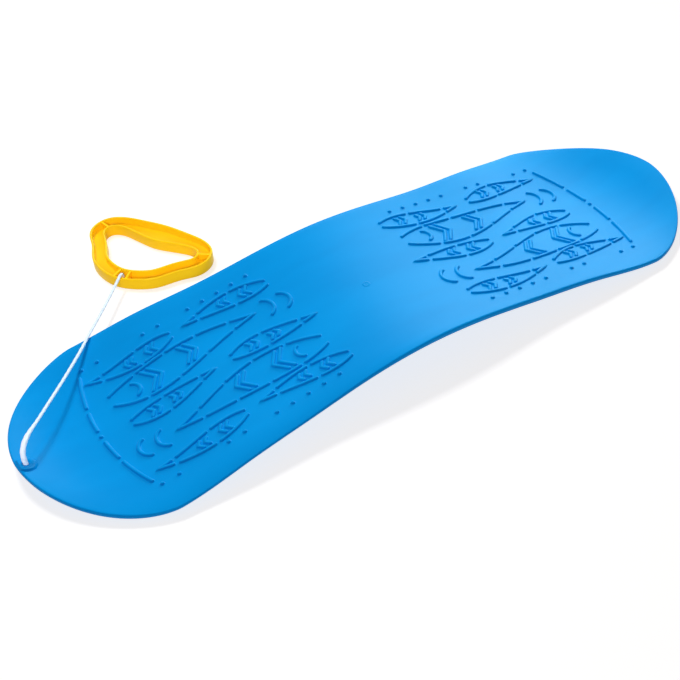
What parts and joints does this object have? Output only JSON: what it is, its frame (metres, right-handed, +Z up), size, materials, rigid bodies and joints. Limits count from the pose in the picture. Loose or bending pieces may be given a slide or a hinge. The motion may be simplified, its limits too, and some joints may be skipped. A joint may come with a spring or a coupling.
{
  "type": "plastic snowboard",
  "caption": "Arched, dish-shaped moulded snowboard for a child, with a raised foot tread and a pull cord that runs from its nose to a grip handle.",
  "frame": {"origin": "middle of the small flat moulding mark at the middle of the deck's top", "axes": "+X along the deck from nose to tail, +Y to the side where the handle lies, +Z up"},
  "size_m": [0.7238, 0.3983, 0.0434],
  "materials": {
    "deck_plastic": "satin injection moulding with faint flow marks",
    "handle_plastic": "smooth semi-gloss injection moulding",
    "cord_fibre": "white braided cord"
  },
  "bodies": {
    "board": {"deck": "deck_plastic", "pull_cord": "cord_fibre", "nose_knot": "cord_fibre", "handle_knot": "cord_fibre"},
    "handle": {"pull_handle": "handle_plastic"}
  },
  "joints": [
    {"name": "handle_swivel", "type": "hinge", "parent": "board", "child": "handle", "pos_m": [-0.1719, 0.1865, -0.03], "axis": [0, 0, 1], "range_deg": [-90, 135]}
  ]
}
